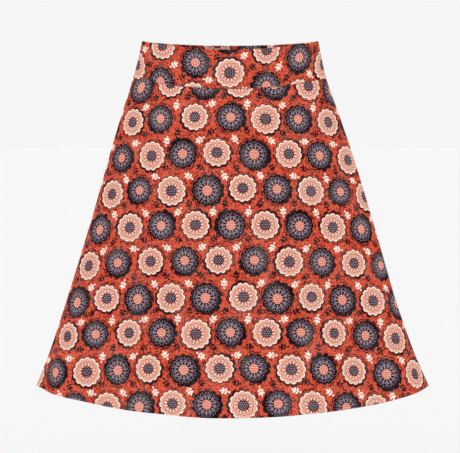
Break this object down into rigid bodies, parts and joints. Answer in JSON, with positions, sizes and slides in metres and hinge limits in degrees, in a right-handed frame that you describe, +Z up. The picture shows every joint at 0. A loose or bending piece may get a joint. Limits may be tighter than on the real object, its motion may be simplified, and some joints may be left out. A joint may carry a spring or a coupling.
{
  "type": "a-line midi skirt",
  "caption": "Pull-on A-line midi skirt with a wide shaped waistband and an even flare, filled out as if worn, hollow and open at the waist and the hem.",
  "frame": {"origin": "the middle of the waist, half way down the waistband at the side seams, where the wearer's waist holds the skirt up", "axes": "+Z up out of the waist, -Y the skirt's front, +X the right side seam of someone who looks at the front"},
  "size_m": [0.7126, 0.2851, 0.6574],
  "materials": {
    "waistband_cloth": "matt stretch cotton, folded double, with a flower and leaf print that runs crosswise in coral, peach and charcoal",
    "panel_cloth": "matt stretch cotton with an upright flower and leaf print in coral, peach and charcoal"
  },
  "bodies": {
    "root": {"waistband_front": "waistband_cloth", "waistband_back": "waistband_cloth", "panel_front": "panel_cloth", "panel_back": "panel_cloth"}
  },
  "joints": []
}
